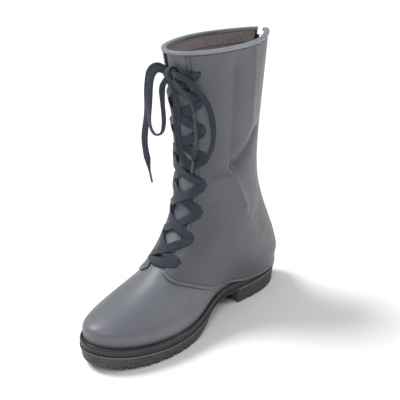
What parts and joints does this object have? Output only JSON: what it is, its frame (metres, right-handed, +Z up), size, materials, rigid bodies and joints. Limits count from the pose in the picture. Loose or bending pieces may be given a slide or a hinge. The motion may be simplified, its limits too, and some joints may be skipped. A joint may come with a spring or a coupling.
{
  "type": "lace-up boot",
  "caption": "Calf-high costume boot for the right foot with smooth gaiter-like quarters, flat laces tied in a bow, a back zip and a low lugged sole.",
  "frame": {"origin": "centre of the heel's flat ground face", "axes": "+Y from heel to toe, +X to the outer (lateral) side of the right foot, +Z up"},
  "size_m": [0.1021, 0.3037, 0.3083],
  "materials": {
    "smooth_pu_leather": "satin, smooth with soft creases",
    "black_rubber": "satin",
    "tread_rubber": "matte, finely ribbed side",
    "felt": "matte felt lining",
    "black_zip": "matte woven tape with moulded teeth",
    "black_lacquer": "semi-gloss black lacquer",
    "navy_lace": "matte flat weave",
    "clear_tip": "clear glossy sleeve"
  },
  "bodies": {
    "boot": {"outsole": "tread_rubber", "midsole": "black_rubber", "insole": "felt", "upper": "smooth_pu_leather", "quarter_outer": "smooth_pu_leather", "quarter_inner": "smooth_pu_leather", "collar_binding": "smooth_pu_leather", "zip_tape": "black_zip", "zip_teeth": "black_zip", "zip_slider": "black_lacquer", "lace_crossings": "navy_lace", "lace_knot": "navy_lace", "lace_loop_outer": "navy_lace", "lace_loop_inner": "navy_lace", "lace_end_outer": "navy_lace", "lace_end_inner": "navy_lace", "aglet_outer": "clear_tip", "aglet_inner": "clear_tip"},
    "zip_pull": {"zip_pull": "black_lacquer"}
  },
  "joints": [
    {"name": "pull_hinge", "type": "hinge", "parent": "boot", "child": "zip_pull", "pos_m": [0, -0.03209, 0.28801], "axis": [-1, 0, 0], "range_deg": [0, 150]}
  ]
}
